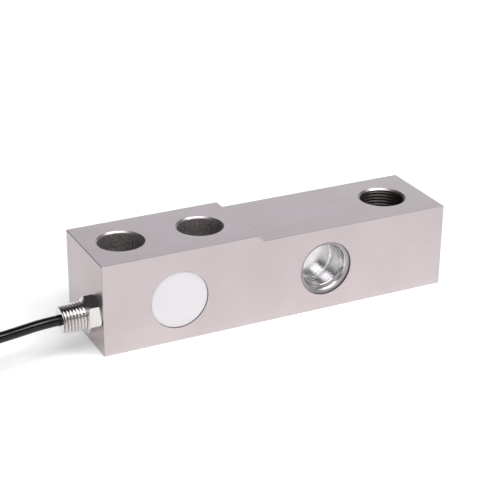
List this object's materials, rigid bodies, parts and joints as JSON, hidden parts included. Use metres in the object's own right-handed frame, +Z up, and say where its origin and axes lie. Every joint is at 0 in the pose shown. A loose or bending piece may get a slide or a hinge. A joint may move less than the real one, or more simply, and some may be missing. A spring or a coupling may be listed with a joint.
{
  "type": "cantilever beam load cell",
  "caption": "Single-ended shear beam load cell: a steel bar with a raised mounting pad, closed gauge pockets, a threaded load hole and a cable with its gland.",
  "frame": {"origin": "centre of the beam's bottom face", "axes": "+X to the load end, -Y to the side with the white cover, +Z up"},
  "size_m": [0.3567, 0.055, 0.043],
  "materials": {
    "beam_steel": "fine satin, nickel-plated",
    "cup_steel": "bright drawn sheet",
    "cover_steel": "satin",
    "label_white": "matte",
    "gland_nickel": "polished nickel plate",
    "seal_rubber": "matte",
    "cable_black": "glossy black jacket",
    "tie_white": "natural nylon",
    "sleeve_black": "shrink sleeve",
    "core_red": "glossy",
    "core_black": "glossy",
    "core_green": "glossy",
    "core_white": "glossy",
    "shield_copper": "tinned copper",
    "lead_enamel": "enamelled copper",
    "board_green": "solder resist",
    "pillar_plastic": "matte",
    "resistor_black": "matte",
    "solder_tin": "bright tin",
    "gauge_film": "amber film",
    "terminal_copper": "copper foil"
  },
  "bodies": {
    "root": {"beam_body": "beam_steel", "front_gauge_cup": "cup_steel", "rear_gauge_cup": "cup_steel", "connection_cover": "cover_steel", "cover_label": "label_white", "cable_gland": "gland_nickel", "gland_washer": "gland_nickel", "gland_grommet": "seal_rubber", "gland_seal_ring": "seal_rubber", "cable_entry": "cable_black", "cable_lead": "cable_black", "cable_hank": "cable_black", "hank_ties": "tie_white", "tail_sleeve": "sleeve_black", "tail_red": "core_red", "tail_black": "core_black", "tail_green": "core_green", "tail_white": "core_white", "tail_shield": "shield_copper", "core_red": "core_red", "core_black": "core_black", "core_green": "core_green", "core_white": "core_white", "terminal_board": "board_green", "board_pillars": "pillar_plastic", "compensation_resistors": "resistor_black", "solder_joints": "solder_tin", "front_strain_gauge": "gauge_film", "rear_strain_gauge": "gauge_film", "front_gauge_terminals": "terminal_copper", "rear_gauge_terminals": "terminal_copper", "front_gauge_leads": "lead_enamel", "rear_gauge_leads": "lead_enamel"}
  },
  "joints": []
}
